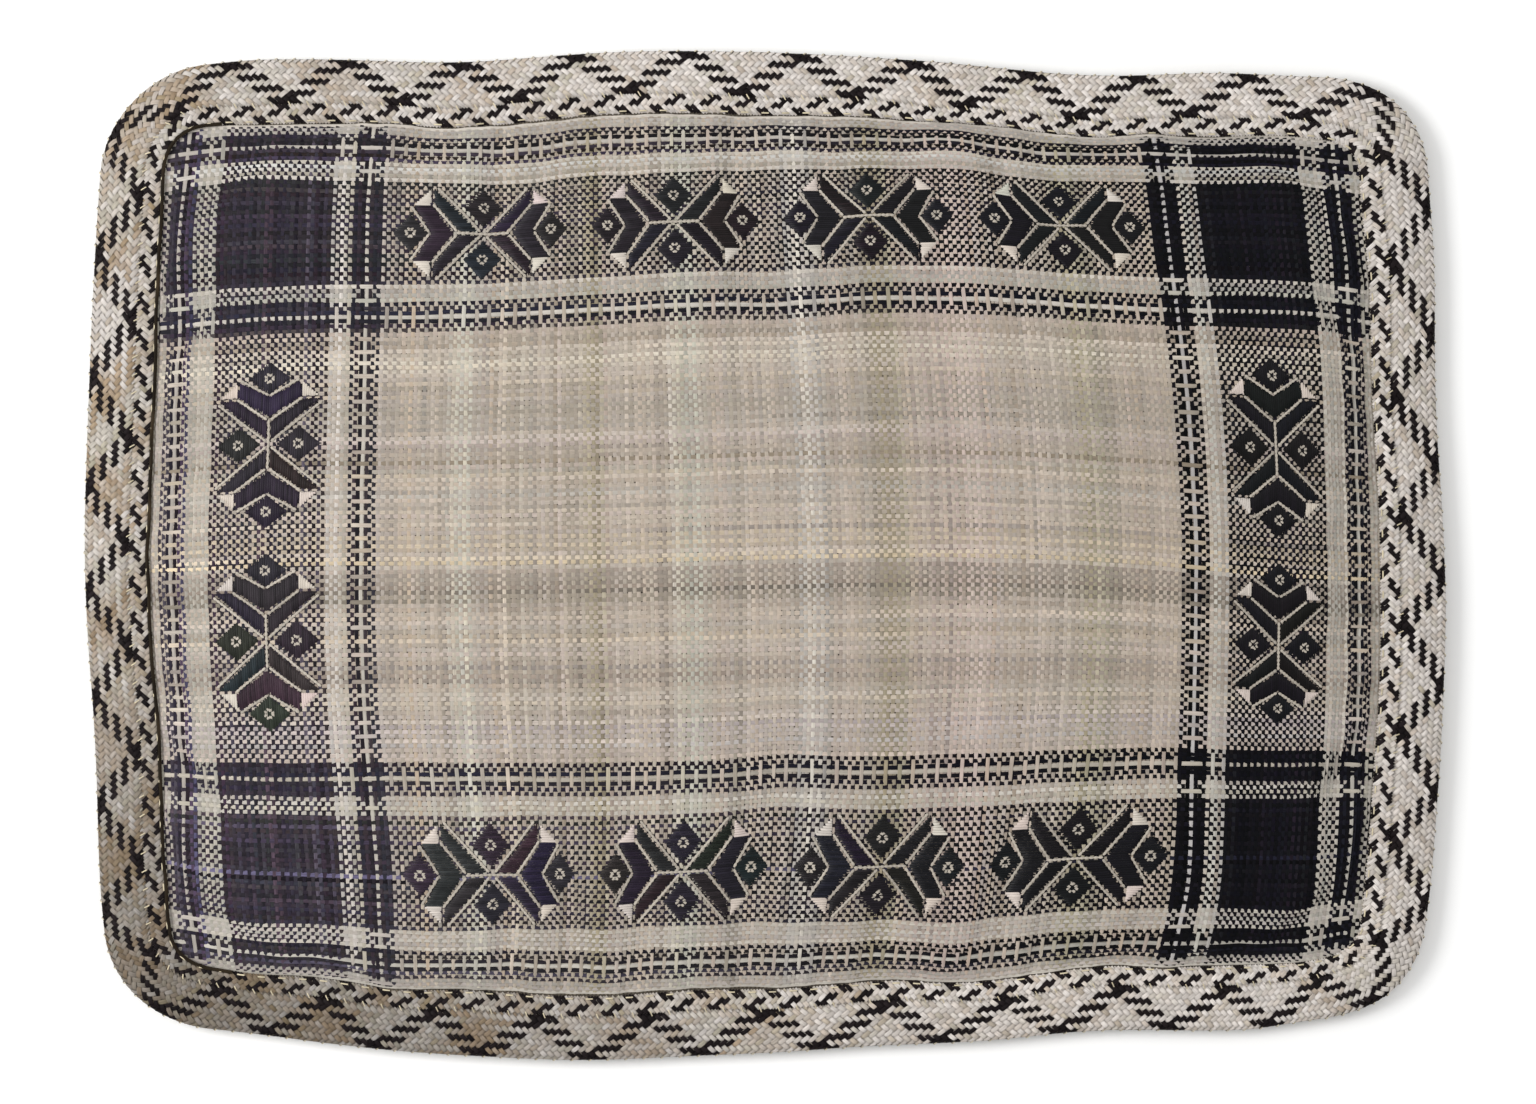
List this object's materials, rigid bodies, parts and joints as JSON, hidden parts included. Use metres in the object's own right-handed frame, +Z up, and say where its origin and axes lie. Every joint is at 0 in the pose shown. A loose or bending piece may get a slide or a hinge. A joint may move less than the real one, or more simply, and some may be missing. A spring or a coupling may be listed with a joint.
{
  "type": "floor cushion",
  "caption": "Slim rectangular floor cushion with rounded corners, a plaid woven top with star inlays and a plaited straw border.",
  "frame": {"origin": "middle of the underside, on the surface that the cushion lies on", "axes": "+X along the long side, +Y along the short side, +Z up through the crown"},
  "size_m": [0.6004, 0.4444, 0.042],
  "materials": {
    "woven_cloth": "matt woven plant fibre",
    "straw_braid": "matt plaited straw",
    "backing_cloth": "matt plain weave",
    "case_cotton": "matt cotton",
    "wadding": "soft fibre",
    "dark_thread": "slight sheen",
    "pale_thread": "slight sheen",
    "sewing_thread": "waxed thread"
  },
  "bodies": {
    "root": {"cover_panel": "woven_cloth", "outer_braid": "straw_braid", "inner_braid": "straw_braid", "backing_cloth": "backing_cloth", "inner_case_top": "case_cotton", "inner_case_bottom": "case_cotton", "batting_top": "wadding", "core_pad": "wadding", "batting_bottom": "wadding", "star_top_1_dark": "dark_thread", "star_top_1_pale": "pale_thread", "star_top_2_dark": "dark_thread", "star_top_2_pale": "pale_thread", "star_top_3_dark": "dark_thread", "star_top_3_pale": "pale_thread", "star_top_4_dark": "dark_thread", "star_top_4_pale": "pale_thread", "star_bottom_1_dark": "dark_thread", "star_bottom_1_pale": "pale_thread", "star_bottom_2_dark": "dark_thread", "star_bottom_2_pale": "pale_thread", "star_bottom_3_dark": "dark_thread", "star_bottom_3_pale": "pale_thread", "star_bottom_4_dark": "dark_thread", "star_bottom_4_pale": "pale_thread", "star_left_1_dark": "dark_thread", "star_left_1_pale": "pale_thread", "star_left_2_dark": "dark_thread", "star_left_2_pale": "pale_thread", "star_right_1_dark": "dark_thread", "star_right_1_pale": "pale_thread", "star_right_2_dark": "dark_thread", "star_right_2_pale": "pale_thread", "panel_seam_stitches": "sewing_thread", "braid_join_stitches": "sewing_thread", "rim_whip_stitches": "sewing_thread", "case_seam_stitches": "sewing_thread"}
  },
  "joints": []
}
